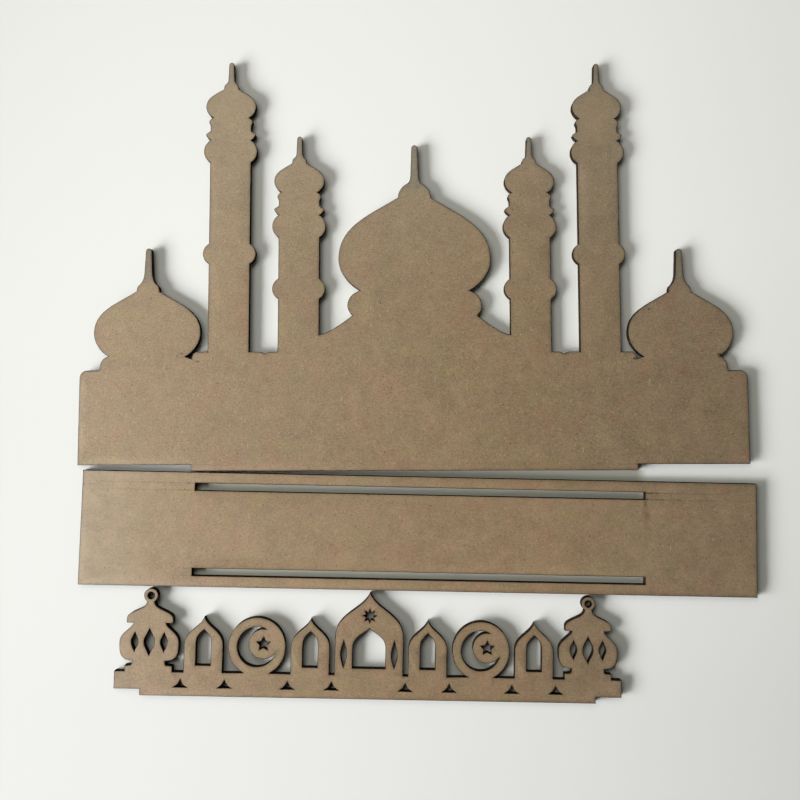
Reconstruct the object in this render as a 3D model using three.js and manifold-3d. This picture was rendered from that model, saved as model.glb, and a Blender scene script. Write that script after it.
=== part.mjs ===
// A slot-together mosque decoration cut from thin wooden board.
// Three boards lie flat on a table, face up and side by side, as they come out
// of the packet: a mosque silhouette, a base with two slots, and a pierced
// frieze. The tab under the silhouette fits the rear slot of the base, and the
// tab under the frieze fits the front slot.
// Millimetres, +Z up, origin at the middle of the footprint on the table.

import * as THREE from 'three';
import { mergeVertices } from 'three/addons/utils/BufferGeometryUtils.js';
import Module from 'manifold-3d';

const wasm = await Module();
wasm.setup();

// Board and fits
const boardThickness = 3.0;
const boardFinish = { roughness: 0.85, metalness: 0 };
const mosqueColour = 0xa08c70;
const baseColour = 0x9b8568;
const friezeColour = 0x988263;
const slotSideClearance = 0.1;
const slotEndClearance = 0.3;
const tabShortfall = 0.3;
const tabInset = 50.2;
const slotPitch = 37.2;
const slotMargin = 4.8;

// How the boards lie on the table
const layAngle = THREE.MathUtils.degToRad(-1.3);
const baseGap = 0.4;
const baseSlide = 2.0;
const friezeGap = 1.0;
const friezeSlide = -21.3;

// Facets of the round stretches
const facetLength = 0.9;
const fewestFacets = 3;
const repeatedWithin = 1e-6;
const cutOverrun = 1.0;

// Mosque silhouette: heights of its straight edges
const shoulderHeight = 42.0;
const floorRise = 8.4;
const shoulderWidth = 8.8;
const cornerRadius = 3.3;

// Onion shapes: how full the belly and how long the straight roof is
const bellySpread = 0.53;
const bellySlope = 0.53;
const bellyFullness = 0.42;
const roofFullness = 0.52;
const roofRun = 0.52;
const roofSlope = 0.61;
const collarPull = 0.5;
const flarePull = 0.45;
const flareDip = 0.15;
const stemPull = 0.5;

// Central dome
const dome = {
  neckHalf: 24.7, bellyHalf: 34.5, bellyHeight: 14.4,
  collarHalf: 7.5, collarHeight: 42.7,
  flareHalf: 3.0, flareRise: 6.7,
  stemHalf: 1.8, stemRise: 11.0,
  tipHalf: 1.4, tipRise: 24.3,
};
const domeNeckRise = 27.7;
const domeBeadHalf = 30.4;
const domeBeadDrop = 6.8;
const domeBeadFootHalf = 28.2;
const domeBeadFootDrop = 4.5;
const fullPull = 0.55;
const beadDip = 0.8;
const valleyRise = 7.7;
const valleyWidth = 8.65;
const valleyPull = 0.3;
const valleyFall = 0.4;
const valleyLift = 0.08;

// Side domes
const sideDome = {
  neckHalf: 17.1, bellyHalf: 23.85, bellyHeight: 10.7,
  collarHalf: 5.1, collarHeight: 29.5,
  flareHalf: 4.5, flareRise: 2.5,
  stemHalf: 1.75, stemRise: 9.2,
  tipHalf: 1.35, tipRise: 19.6,
};
const sideNeckRise = 6.2;
const sideBeadWidth = 3.9;
const sideBeadHeight = 5.2;
const sideGap = 3.2;
const notchWidth = 2.9;
const notchDrop = 1.0;
const notchBeadWidth = 2.4;

// Minaret heads, alike on all four minarets; heights are above the head's foot
const minaretOnion = {
  neckHalf: 8.25, bellyHalf: 11.4, bellyHeight: 5.0,
  collarHalf: 3.35, collarHeight: 13.4,
  flareHalf: 2.8, flareRise: 2.2,
  stemHalf: 1.4, stemRise: 4.6,
  tipHalf: 1.15, tipRise: 12.5,
};
const shaftHalf = 9.25;
const headBeadHeight = 10.35;
const headBeadBulge = 2.9;
const ringHeight = 4.5;
const ringBulge = 2.1;
const ringTipHeight = 2.6;
const ringDip = 0.7;
const upperRingGap = 1.9;
const upperRingHeight = 4.1;
const upperRingBulge = 0.7;
const upperRingPull = 0.8;
const lowBeadHeight = 9.3;
const lowBeadBulge = 2.7;

// Minaret heights above the floor between them
const tallHeadRise = 86.5;
const tallLowBeadRise = 44.45;
const shortHeadRise = 51.9;
const shortLowBeadRise = 28.5;
const laneWidth = 12.9;
const nickHalf = 2.1;
const nickDepth = 0.9;
const nickOffset = 0.8;

// Frieze rail, with a three-cornered piercing under each gap
const railHeight = 7.5;
const railEnd = 1.8;
const bayGap = 2.25;
const wedgeHalf = 3.1;
const wedgeHeight = 3.4;
const wedgeSill = 0.9;
const wedgePinch = 0.35;

// Frieze arches and the gate in the middle; heights are above the rail
const arch = {
  half: 8.5, spring: 11.5, rise: 12.5,
  openHalf: 3.3, openSill: 3.0, openSpring: 12.5, openRise: 6.0,
};
const gate = {
  half: 15.0, spring: 16.5, rise: 19.2,
  openHalf: 7.2, openSill: 3.0, openSpring: 11.5, openRise: 8.5,
};
const ogeeFullness = 0.52;
const ogeePoint = 0.2;
const ogeeLift = 0.6;
const windowFullness = 0.6;
const windowPoint = 0.35;
const windowLift = 0.75;
const gateLightHalf = 1.3;
const gateLightHeight = 12.0;

// Frieze moons
const moonRadius = 12.6;
const moonSink = 1.2;
const crescentRadius = 8.6;
const crescentInnerRadius = 6.5;
const crescentShiftX = 2.8;
const crescentShiftY = 1.2;

// Stars in the moons and over the gate
const starRadius = 3.0;
const starWaist = 1.55;
const gateStarGap = 2.6;
const moonStarPoints = 5;
const gateStarPoints = 8;

// Frieze lanterns, as heights stacked on the rail
const lantern = {
  plinthHalf: 10.4, plinthHeight: 2.5,
  neckHalf: 7.2, coveHeight: 2.0,
  bodyHalf: 13.0, lowerBody: 8.0, upperBody: 8.2,
  eaveHalf: 10.2, eaveHeight: 1.8,
  roofTopHalf: 1.7, roofRise: 7.4,
  ringRadius: 3.1, ringHole: 1.5, ringSink: 0.4,
  bodyPull: 0.5, eavePull: 0.25, roofPull: 0.5,
};
const lightHalf = 2.3;
const lightInset = 2.4;
const sideLightOffset = 6.4;
const sideLightShort = 1.6;
const sideLightHalf = 1.5;

// Lights pointed at both ends: where the pulls of a side's two curves lie
const lensShoulder = 0.5;
const lensTipPull = 1 / 4;
const lensBellyPull = 1 / 3;

// Sizes that follow from the ones above
const tabDepth = boardThickness - tabShortfall;
const slotWidth = boardThickness + 2 * slotSideClearance;
const baseDepth = slotPitch + slotWidth + 2 * slotMargin;
const floorHeight = shoulderHeight + floorRise;
const valleyHalf = dome.bellyHalf + valleyWidth;
const shortCentre = valleyHalf + shaftHalf;
const tallCentre = shortCentre + 2 * shaftHalf + laneWidth;
const sideCentre = tallCentre + shaftHalf + sideGap + sideDome.bellyHalf;
const sideFoot = sideCentre + sideDome.neckHalf + sideBeadWidth;
const panelHalf = sideFoot + shoulderWidth;
const tabLength = 2 * (panelHalf - tabInset);
const slotLength = tabLength + 2 * slotEndClearance;

// An outline drawn from point to point. Repeated points are dropped.
class Outline {
  constructor() {
    this.points = [];
  }

  to(x, y) {
    const point = new THREE.Vector2(x, y);
    const last = this.points[this.points.length - 1];
    if (!last || last.distanceTo(point) > repeatedWithin) this.points.push(point);
    return this;
  }

  // A cubic curve from the last point, with two pulls and an end.
  curve(ax, ay, bx, by, x, y) {
    const start = this.points[this.points.length - 1];
    const cubic = new THREE.CubicBezierCurve(
      start, new THREE.Vector2(ax, ay), new THREE.Vector2(bx, by), new THREE.Vector2(x, y));
    return this.follow(cubic);
  }

  // A circular arc about a centre, counter-clockwise unless told otherwise.
  arc(cx, cy, radius, from, to, clockwise = false) {
    return this.follow(new THREE.EllipseCurve(cx, cy, radius, radius, from, to, clockwise));
  }

  // An elliptical arc about a centre, counter-clockwise unless told otherwise.
  ellipse(cx, cy, rx, ry, from, to, clockwise = false) {
    return this.follow(new THREE.EllipseCurve(cx, cy, rx, ry, from, to, clockwise));
  }

  follow(curve) {
    const facets = Math.max(fewestFacets, Math.ceil(curve.getLength() / facetLength));
    for (const point of curve.getPoints(facets)) this.to(point.x, point.y);
    return this;
  }

  // The points, without a last one that only repeats the first.
  closed() {
    const [first] = this.points;
    const last = this.points[this.points.length - 1];
    return last.distanceTo(first) > repeatedWithin ? this.points : this.points.slice(0, -1);
  }

  // Half a tower's outline about its centre line, up its left side.
  up(centre, foot, profile) {
    for (const { x, y } of profile) this.to(centre - x, foot + y);
    return this;
  }

  // The same half, down its right side.
  down(centre, foot, profile) {
    for (const { x, y } of [...profile].reverse()) this.to(centre + x, foot + y);
    return this;
  }
}

// Half of an onion dome with its collar and finial, from the neck to the tip:
// x is the half width and y the height above the neck.
function onionProfile(o) {
  const half = new Outline().to(o.neckHalf, 0);
  const swell = bellySpread * (o.bellyHalf - o.neckHalf);
  half.curve(
    o.neckHalf + swell, bellySlope * swell,
    o.bellyHalf, o.bellyHeight * (1 - bellyFullness),
    o.bellyHalf, o.bellyHeight);
  const run = roofRun * (o.bellyHalf - o.collarHalf);
  half.curve(
    o.bellyHalf, o.bellyHeight + roofFullness * (o.collarHeight - o.bellyHeight),
    o.collarHalf + run, o.collarHeight - roofSlope * run,
    o.collarHalf, o.collarHeight);
  const flare = o.collarHeight + o.flareRise;
  const stem = o.collarHeight + o.stemRise;
  half.curve(
    o.collarHalf, o.collarHeight + o.flareRise * collarPull,
    o.flareHalf + flarePull * (o.collarHalf - o.flareHalf), flare - flareDip * o.flareRise,
    o.flareHalf, flare);
  half.curve(
    o.stemHalf + flarePull * (o.flareHalf - o.stemHalf), flare + flareDip * (stem - flare),
    o.stemHalf, stem - stemPull * (stem - flare),
    o.stemHalf, stem);
  const tip = o.collarHeight + o.tipRise;
  half.to(o.tipHalf, tip - o.tipHalf);
  half.arc(0, tip - o.tipHalf, o.tipHalf, 0, Math.PI / 2);
  return half.points;
}

// A round bead on a straight side, as one circular arc.
function addBead(half, side, foot, height, bulge) {
  const radius = (height * height / 4 + bulge * bulge) / (2 * bulge);
  const reach = Math.asin(height / 2 / radius);
  half.arc(side + bulge - radius, foot + height / 2, radius, -reach, reach);
}

// The pointed ring above the head's bead: out in a full curve, back in a hollow one.
function addRing(half, foot) {
  const outer = shaftHalf + ringBulge;
  const tip = foot + ringTipHeight;
  const top = foot + ringHeight;
  half.curve(shaftHalf + fullPull * ringBulge, foot + ringDip,
    outer, tip - ringDip, outer, tip);
  half.curve(outer, tip + ringDip,
    shaftHalf, top - ringDip, shaftHalf, top);
}

// The small upper ring, which draws in to the onion's neck.
function addUpperRing(half, foot) {
  const outer = shaftHalf + upperRingBulge;
  const middle = foot + upperRingHeight / 2;
  const neck = foot + upperRingHeight;
  half.to(shaftHalf, foot);
  half.curve(shaftHalf, foot + upperRingPull, outer, middle - upperRingPull, outer, middle);
  half.curve(outer, middle + upperRingPull,
    minaretOnion.neckHalf + upperRingPull, neck - upperRingPull / 2, minaretOnion.neckHalf, neck);
}

// Half of a minaret, from the floor to its tip.
function minaretProfile(lowBeadRise, headRise) {
  const half = new Outline().to(shaftHalf, 0);
  addBead(half, shaftHalf, lowBeadRise - lowBeadHeight / 2, lowBeadHeight, lowBeadBulge);
  addBead(half, shaftHalf, headRise, headBeadHeight, headBeadBulge);
  const ring = headRise + headBeadHeight;
  addRing(half, ring);
  const upperRing = ring + ringHeight + upperRingGap;
  addUpperRing(half, upperRing);
  const neck = upperRing + upperRingHeight;
  for (const { x, y } of onionProfile(minaretOnion)) half.to(x, neck + y);
  return half.points;
}

// The central dome's right side with its bead, down to the side of the short minaret.
function addCentralDome(outline) {
  const neck = floorHeight + domeNeckRise;
  outline.down(0, neck, onionProfile(dome));
  const middle = neck - domeBeadDrop;
  const foot = middle - domeBeadFootDrop;
  outline.curve(dome.neckHalf + fullPull * (domeBeadHalf - dome.neckHalf), neck - beadDip,
    domeBeadHalf, middle + domeBeadDrop / 2, domeBeadHalf, middle);
  outline.curve(domeBeadHalf, middle - domeBeadFootDrop / 2,
    domeBeadFootHalf + beadDip, foot + beadDip, domeBeadFootHalf, foot);
  const valley = floorHeight + valleyRise;
  const run = valleyHalf - domeBeadFootHalf;
  const fall = foot - valley;
  outline.curve(domeBeadFootHalf + valleyPull * run, foot - valleyFall * fall,
    valleyHalf - valleyPull * run, valley + valleyLift * fall, valleyHalf, valley);
}

// The floor between the two minarets of a side, with the small nick in it.
function addLane(outline) {
  const nick = shortCentre + shaftHalf + laneWidth / 2 - nickOffset;
  const bottom = floorHeight - nickDepth;
  outline.to(nick - nickHalf, floorHeight);
  outline.curve(nick - nickHalf / 2, floorHeight, nick - nickHalf / 2, bottom, nick, bottom);
  outline.curve(nick + nickHalf / 2, bottom, nick + nickHalf / 2, floorHeight,
    nick + nickHalf, floorHeight);
}

// The notch at the inner foot of the side dome, the dome, and the half bead outside it.
function addSideDome(outline) {
  const neck = shoulderHeight + sideNeckRise;
  const notch = sideCentre - sideDome.neckHalf - notchWidth;
  const notchFoot = neck - notchDrop;
  outline.ellipse(notch - notchBeadWidth, notchFoot, notchBeadWidth, floorHeight - notchFoot,
    Math.PI / 2, 0, true);
  const profile = onionProfile(sideDome);
  outline.up(sideCentre, neck, profile).down(sideCentre, neck, profile);
  outline.ellipse(sideFoot - sideBeadWidth, neck - sideBeadHeight, sideBeadWidth, sideBeadHeight,
    Math.PI / 2, 0, true);
}

// The silhouette's right half, from the central tip to the foot of the tab.
function mosqueHalfOutline() {
  const outline = new Outline();
  const shortMinaret = minaretProfile(shortLowBeadRise, shortHeadRise);
  const tallMinaret = minaretProfile(tallLowBeadRise, tallHeadRise);
  addCentralDome(outline);
  outline.up(shortCentre, floorHeight, shortMinaret.slice(1));
  outline.down(shortCentre, floorHeight, shortMinaret);
  addLane(outline);
  outline.up(tallCentre, floorHeight, tallMinaret).down(tallCentre, floorHeight, tallMinaret);
  addSideDome(outline);
  outline.to(sideFoot, shoulderHeight);
  outline.arc(panelHalf - cornerRadius, shoulderHeight - cornerRadius, cornerRadius,
    Math.PI / 2, 0, true);
  outline.to(panelHalf, 0).to(tabLength / 2, 0).to(tabLength / 2, -tabDepth);
  return outline.points;
}

// The whole silhouette: the right half and its mirror image.
function mosquePlan() {
  const right = mosqueHalfOutline();
  const offAxis = right.filter(({ x }) => x > repeatedWithin);
  const left = offAxis.map(({ x, y }) => new THREE.Vector2(-x, y));
  return { outline: [...right, ...left.reverse()], holes: [] };
}

// A rectangle about a centre.
function rectangle(cx, cy, width, height) {
  return new Outline().to(cx - width / 2, cy - height / 2).to(cx + width / 2, cy - height / 2)
    .to(cx + width / 2, cy + height / 2).to(cx - width / 2, cy + height / 2).points;
}

// The base: a plain rectangle with two long slots, its centre at the origin.
function basePlan() {
  const slots = [-1, 1].map((side) => rectangle(0, side * slotPitch / 2, slotLength, slotWidth));
  return { outline: rectangle(0, 0, 2 * panelHalf, baseDepth), holes: slots };
}

// A closed outline from one symmetrical half, which runs from its foot to its tip.
function mirrored(centre, foot, half) {
  const outline = new Outline().up(centre, foot, half).down(centre, foot, half);
  return outline.closed();
}

// Half of a pointed window on a flat sill.
function windowHalf(halfWidth, height, rise) {
  const half = new Outline().to(halfWidth, 0).to(halfWidth, height);
  return half.curve(halfWidth, height + windowFullness * rise,
    windowPoint * halfWidth, height + windowLift * rise, 0, height + rise).points;
}

// Half of a light that is pointed at both ends.
function lensHalf(halfWidth, height) {
  const shoulder = lensShoulder * halfWidth;
  const half = new Outline().to(0, 0);
  half.curve(shoulder, lensTipPull * height,
    halfWidth, lensBellyPull * height, halfWidth, height / 2);
  return half.curve(halfWidth, (1 - lensBellyPull) * height,
    shoulder, (1 - lensTipPull) * height, 0, height).points;
}

// A star with its first point straight up.
function star(cx, cy, points) {
  const outline = new Outline();
  for (let i = 0; i < 2 * points; i += 1) {
    const radius = i % 2 ? starWaist : starRadius;
    const angle = Math.PI / 2 + i * Math.PI / points;
    outline.to(cx + radius * Math.cos(angle), cy + radius * Math.sin(angle));
  }
  return outline.points;
}

// A crescent open to the upper right: one arc out and a smaller one back.
function crescent(cx, cy) {
  const shift = Math.hypot(crescentShiftX, crescentShiftY);
  const tilt = Math.atan2(crescentShiftY, crescentShiftX);
  const outer = Math.acos(
    (crescentRadius ** 2 + shift ** 2 - crescentInnerRadius ** 2) / (2 * crescentRadius * shift));
  const inner = Math.acos(
    (crescentRadius ** 2 - shift ** 2 - crescentInnerRadius ** 2) / (2 * crescentInnerRadius * shift));
  const outline = new Outline();
  outline.arc(cx, cy, crescentRadius, tilt + outer, tilt - outer + 2 * Math.PI);
  outline.arc(cx + crescentShiftX, cy + crescentShiftY, crescentInnerRadius,
    tilt - inner + 2 * Math.PI, tilt + inner, true);
  return outline.closed();
}

// Each kind of bay gives its half width, its top outline and its piercings.
function addPointedBay(outline, holes, centre, bay) {
  const half = new Outline().to(bay.half, 0).to(bay.half, bay.spring);
  half.curve(bay.half, bay.spring + ogeeFullness * bay.rise,
    ogeePoint * bay.half, bay.spring + ogeeLift * bay.rise, 0, bay.spring + bay.rise);
  outline.up(centre, railHeight, half.points).down(centre, railHeight, half.points);
  const opening = windowHalf(bay.openHalf, bay.openSpring - bay.openSill, bay.openRise);
  holes.push(mirrored(centre, railHeight + bay.openSill, opening));
}

function addArch(outline, holes, centre) {
  addPointedBay(outline, holes, centre, arch);
}

function addGate(outline, holes, centre) {
  addPointedBay(outline, holes, centre, gate);
  const openingTop = railHeight + gate.openSpring + gate.openRise;
  holes.push(star(centre, openingTop + gateStarGap + starRadius, gateStarPoints));
  const light = lensHalf(gateLightHalf, gateLightHeight);
  const offset = (gate.half + gate.openHalf) / 2;
  for (const side of [-1, 1]) {
    holes.push(mirrored(centre + side * offset, railHeight + gate.openSill, light));
  }
}

function addMoon(outline, holes, centre) {
  const middle = railHeight + moonRadius - moonSink;
  const foot = Math.asin((moonRadius - moonSink) / moonRadius);
  outline.arc(centre, middle, moonRadius, Math.PI + foot, -foot, true);
  holes.push(crescent(centre, middle));
  holes.push(star(centre + crescentShiftX, middle + crescentShiftY, moonStarPoints));
}

function addLantern(outline, holes, centre) {
  const l = lantern;
  const neck = l.plinthHeight + l.coveHeight;
  const belly = neck + l.lowerBody;
  const eave = belly + l.upperBody;
  const roof = eave + l.eaveHeight;
  const roofTop = roof + l.roofRise;
  const ring = roofTop + l.ringRadius - l.ringSink;
  const half = new Outline().to(l.plinthHalf, 0).to(l.plinthHalf, l.plinthHeight);
  half.curve(l.neckHalf, l.plinthHeight, l.neckHalf, l.plinthHeight, l.neckHalf, neck);
  half.curve(l.bodyHalf, neck, l.bodyHalf, belly - l.bodyPull * l.lowerBody, l.bodyHalf, belly);
  half.curve(l.bodyHalf, belly + l.bodyPull * l.upperBody,
    l.neckHalf, eave - l.eavePull * l.upperBody, l.neckHalf, eave);
  half.to(l.eaveHalf, eave).to(l.eaveHalf, roof);
  half.curve(l.eaveHalf, roof + l.roofPull * l.roofRise,
    l.roofTopHalf, roofTop - l.roofPull * l.roofRise, l.roofTopHalf, roofTop);
  const ringFoot = Math.asin(Math.min((l.ringRadius - l.ringSink) / l.ringRadius, 1));
  half.arc(0, ring, l.ringRadius, -ringFoot, Math.PI / 2);
  outline.up(centre, railHeight, half.points).down(centre, railHeight, half.points);
  holes.push(new Outline().arc(centre, railHeight + ring, l.ringHole, 0, 2 * Math.PI).closed());
  const height = l.lowerBody + l.upperBody - 2 * lightInset;
  holes.push(mirrored(centre, railHeight + neck + lightInset, lensHalf(lightHalf, height)));
  const sideLight = lensHalf(sideLightHalf, height - 2 * sideLightShort);
  for (const side of [-1, 1]) {
    holes.push(mirrored(centre + side * sideLightOffset,
      railHeight + neck + lightInset + sideLightShort, sideLight));
  }
}

// A three-cornered piercing in the rail with hollow sides.
function wedge(centre) {
  const half = new Outline().to(wedgeHalf, 0);
  half.curve(wedgePinch * wedgeHalf, wedgePinch * wedgeHeight,
    wedgePinch * wedgeHalf, wedgePinch * wedgeHeight, 0, wedgeHeight);
  return mirrored(centre, wedgeSill, half.points);
}

// The bays of the frieze from left to right.
const bays = [
  [lantern.bodyHalf, addLantern], [arch.half, addArch], [moonRadius, addMoon],
  [arch.half, addArch], [gate.half, addGate], [arch.half, addArch],
  [moonRadius, addMoon], [arch.half, addArch], [lantern.bodyHalf, addLantern],
];

const friezeLength = bays.reduce((sum, [half]) => sum + 2 * half, 0)
  + (bays.length - 1) * bayGap + 2 * railEnd;
const friezeHeight = railHeight + gate.spring + gate.rise;

// The frieze: bays standing on a rail, which has the tab below it.
function friezePlan() {
  const outline = new Outline().to(-friezeLength / 2, 0).to(-friezeLength / 2, railHeight);
  const holes = [];
  let x = -friezeLength / 2 + railEnd;
  bays.forEach(([half, addBay], i) => {
    addBay(outline, holes, x + half);
    x += 2 * half + bayGap;
    if (i < bays.length - 1) holes.push(wedge(x - bayGap / 2));
  });
  outline.to(friezeLength / 2, railHeight).to(friezeLength / 2, 0);
  outline.to(tabLength / 2, 0).to(tabLength / 2, -tabDepth);
  outline.to(-tabLength / 2, -tabDepth).to(-tabLength / 2, 0);
  return { outline: outline.points, holes };
}

// A closed outline as a solid between two heights, ready to be cut.
function prism(points, bottom, top) {
  const shape = new THREE.Shape(THREE.ShapeUtils.isClockWise(points) ? points.reverse() : points);
  const extrusion = new THREE.ExtrudeGeometry(shape, { depth: top - bottom, bevelEnabled: false });
  extrusion.deleteAttribute('normal');
  extrusion.deleteAttribute('uv');
  const merged = mergeVertices(extrusion.translate(0, 0, bottom));
  return new wasm.Manifold(new wasm.Mesh({
    numProp: 3,
    vertProperties: new Float32Array(merged.attributes.position.array),
    triVerts: new Uint32Array(merged.index.array),
  }));
}

// A board cut to a plan, its lower face on the table.
function board(name, { outline, holes }, colour) {
  let solid = prism(outline, 0, boardThickness);
  for (const hole of holes) {
    solid = solid.subtract(prism(hole, -cutOverrun, boardThickness + cutOverrun));
  }
  const { vertProperties, triVerts } = solid.getMesh();
  const geometry = new THREE.BufferGeometry();
  geometry.setAttribute('position', new THREE.BufferAttribute(vertProperties, 3));
  geometry.setIndex(new THREE.BufferAttribute(triVerts, 1));
  geometry.computeVertexNormals();
  const mesh = new THREE.Mesh(geometry, new THREE.MeshStandardMaterial({ color: colour, ...boardFinish }));
  mesh.name = name;
  return mesh;
}

// The base and the frieze lie at one slight angle below the silhouette. The
// base's rear edge comes nearest at the left end of the silhouette's tab.
function layOut() {
  const panel = board('mosque_panel', mosquePlan(), mosqueColour);
  const base = board('base_plate', basePlan(), baseColour);
  const frieze = board('front_plate', friezePlan(), friezeColour);
  frieze.position.set(friezeSlide, -(baseDepth / 2 + friezeGap + friezeHeight), 0);
  const turned = new THREE.Group();
  turned.add(base, frieze);
  turned.rotation.z = layAngle;
  const alongTab = tabLength / 2 + baseSlide;
  const drop = (baseDepth / 2 + baseGap - Math.sin(layAngle) * alongTab) / Math.cos(layAngle);
  turned.position.set(baseSlide, -tabDepth - drop, 0);
  const table = new THREE.Group();
  table.add(panel, turned);
  return table;
}

const decoration = new THREE.Group();
const laidBoards = layOut();
const footprint = new THREE.Box3().setFromObject(laidBoards);
const middle = footprint.getCenter(new THREE.Vector3());
laidBoards.position.set(-middle.x, -middle.y, -footprint.min.z);
decoration.add(laidBoards);

export default decoration;
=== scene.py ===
"""Looks for the slot-together mosque decoration: three laser-cut fibreboards on a pale table."""

import math
from typing import NamedTuple

import bpy
import numpy as np
from mathutils import Euler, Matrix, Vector
from mathutils.geometry import delaunay_2d_cdt


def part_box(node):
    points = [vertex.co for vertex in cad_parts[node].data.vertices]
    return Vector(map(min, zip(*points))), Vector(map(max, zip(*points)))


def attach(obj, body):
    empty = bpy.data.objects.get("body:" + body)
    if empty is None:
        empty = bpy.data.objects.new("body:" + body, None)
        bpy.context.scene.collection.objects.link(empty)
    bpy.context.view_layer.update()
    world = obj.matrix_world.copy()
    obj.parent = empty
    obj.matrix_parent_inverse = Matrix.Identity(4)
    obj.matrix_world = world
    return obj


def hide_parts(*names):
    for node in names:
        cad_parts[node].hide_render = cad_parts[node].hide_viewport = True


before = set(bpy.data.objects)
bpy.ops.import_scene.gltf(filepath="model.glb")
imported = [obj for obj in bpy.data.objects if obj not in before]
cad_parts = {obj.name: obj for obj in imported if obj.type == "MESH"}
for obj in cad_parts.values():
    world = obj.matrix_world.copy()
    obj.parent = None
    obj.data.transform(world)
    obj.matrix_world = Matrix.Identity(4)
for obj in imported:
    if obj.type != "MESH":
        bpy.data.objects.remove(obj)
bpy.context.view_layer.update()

bl_info = {
    "name": "Slot-together mosque decoration",
    "version": (1, 0, 0),
    "blender": (4, 5, 0),
    "location": "3D View > Sidebar > Decoration",
    "description": "Three laser-cut fibreboards laid out flat, with their finish and the table",
    "category": "Object",
}

MM = 0.001
WELD = 1e-6

# The face's points, in millimetres: rings beside the rims, a grid between them, and the distance
# from the rims beyond which all spots count as equally far.
HALO_RINGS = (0.6, 1.05, 1.8, 3.0)
GRID_STEP = 4.0
GRID_MARGIN = 3.6
HALO_REACH = 6.0

# Shares of a ring's distance: how near another rim may come, and how close its points may lie.
RING_CLEARANCE = 0.93
RING_THINNING = 0.45

# Where an edge counts as sharp, how far a corner's step may grow, the smallest triangle in square
# millimetres, and the most pairs of a spot and an edge that are measured at once.
SHARP_CORNER = math.radians(32)
MITRE_LIMIT = 0.35
SMALLEST_AREA = 1e-9
BATCH = 2000000

# The cut's section: how hollow the wall is in millimetres, and the steps over the lip.
WALL_HOLLOW = 0.02
LIP_STEPS = 3

# The boards as they lie: the tab's depth, the slots' places on the base, and the base's turn.
TAB = 2.7
SLOT_LEVEL = 18.6
SLOT_HALF = 1.6
SLOT_END = 100.1
LAY_TURN = math.radians(-1.3)


def rgb(red, green, blue):
    """A screen colour from 0 to 255 as the linear colour that Blender takes."""
    screen = np.array([red, green, blue]) / 255
    linear = np.where(screen <= 0.04045, screen / 12.92, ((screen + 0.055) / 1.055) ** 2.4)
    return tuple(float(v) for v in linear)


class BoardShape(bpy.types.PropertyGroup):
    """Sizes of the cut edge of a board."""
    lip_width: bpy.props.FloatProperty(
        name="Lip width", description="How far the burnt lip reaches in over the upper face",
        default=0.25 * MM, min=0.05 * MM, max=0.6 * MM, unit="LENGTH", precision=5)
    lip_depth: bpy.props.FloatProperty(
        name="Lip depth", description="How far the burnt lip drops at the edge",
        default=0.16 * MM, min=0.02 * MM, max=0.5 * MM, unit="LENGTH", precision=5)
    brim_drop: bpy.props.FloatProperty(
        name="Brim drop", description="How far the face sinks towards the cut, over the brim's reach",
        default=0.06 * MM, min=0.0, max=0.2 * MM, unit="LENGTH", precision=5)
    brim_reach: bpy.props.FloatProperty(
        name="Brim reach", description="How far from the cut the face starts to sink",
        default=0.95 * MM, min=0.3 * MM, max=3.0 * MM, unit="LENGTH", precision=5)
    taper: bpy.props.FloatProperty(
        name="Taper", description="How far the beam's cut leans in from the upper to the lower face",
        default=0.06 * MM, min=0.0, max=0.3 * MM, unit="LENGTH", precision=5)
    foot_width: bpy.props.FloatProperty(
        name="Foot width", description="Width of the small burnt break at the lower edge",
        default=0.1 * MM, min=0.02 * MM, max=0.5 * MM, unit="LENGTH", precision=5)
    wall_rows: bpy.props.IntProperty(
        name="Wall rows", description="Rows of faces up the cut wall", default=7, min=2, max=20)


class BoardFinish(bpy.types.PropertyGroup):
    """Colours and gloss of the fibreboard."""
    face: bpy.props.FloatVectorProperty(
        name="Face", description="Pressed face of the fibreboard", subtype="COLOR",
        size=3, min=0, max=1, default=rgb(136, 113, 83))
    burnt: bpy.props.FloatVectorProperty(
        name="Burnt edge", description="Wall left by the laser", subtype="COLOR",
        size=3, min=0, max=1, default=rgb(36, 26, 16))
    smoke: bpy.props.FloatVectorProperty(
        name="Smoke", description="Scorch marks beside the cuts", subtype="COLOR",
        size=3, min=0, max=1, default=rgb(62, 44, 29))
    roughness: bpy.props.FloatProperty(
        name="Roughness", description="Roughness of the pressed face", default=0.58, min=0, max=1,
        subtype="FACTOR")
    gloss: bpy.props.FloatProperty(
        name="Gloss", description="Strength of the pressed face's reflection", default=0.9, min=0,
        max=1, subtype="FACTOR")


class StageSettings(bpy.types.PropertyGroup):
    """Table, lamps and camera."""
    floor: bpy.props.FloatVectorProperty(
        name="Table", description="Colour of the table top", subtype="COLOR",
        size=3, min=0, max=1, default=(0.835, 0.837, 0.822))
    backdrop: bpy.props.FloatVectorProperty(
        name="Backdrop", description="Colour seen beyond the table", subtype="COLOR",
        size=3, min=0, max=1, default=(0.82, 0.825, 0.80))
    key_power: bpy.props.FloatProperty(
        name="Window", description="Power of the low lamp at the left", default=2.2, min=0,
        unit="POWER")
    near_power: bpy.props.FloatProperty(
        name="Near fill", description="Power of the soft lamp close by at the left", default=2.65,
        min=0, unit="POWER")
    low_power: bpy.props.FloatProperty(
        name="Low fill", description="Power of the wide low lamp at the lower left", default=32.0,
        min=0, unit="POWER")
    sky: bpy.props.FloatProperty(
        name="Room light", description="Strength of the room's light at the horizon", default=0.2,
        min=0, max=4)
    lens: bpy.props.FloatProperty(
        name="Lens", description="Focal length on a 36 mm sensor", default=33.75, min=10, max=200,
        unit="CAMERA")


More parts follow.
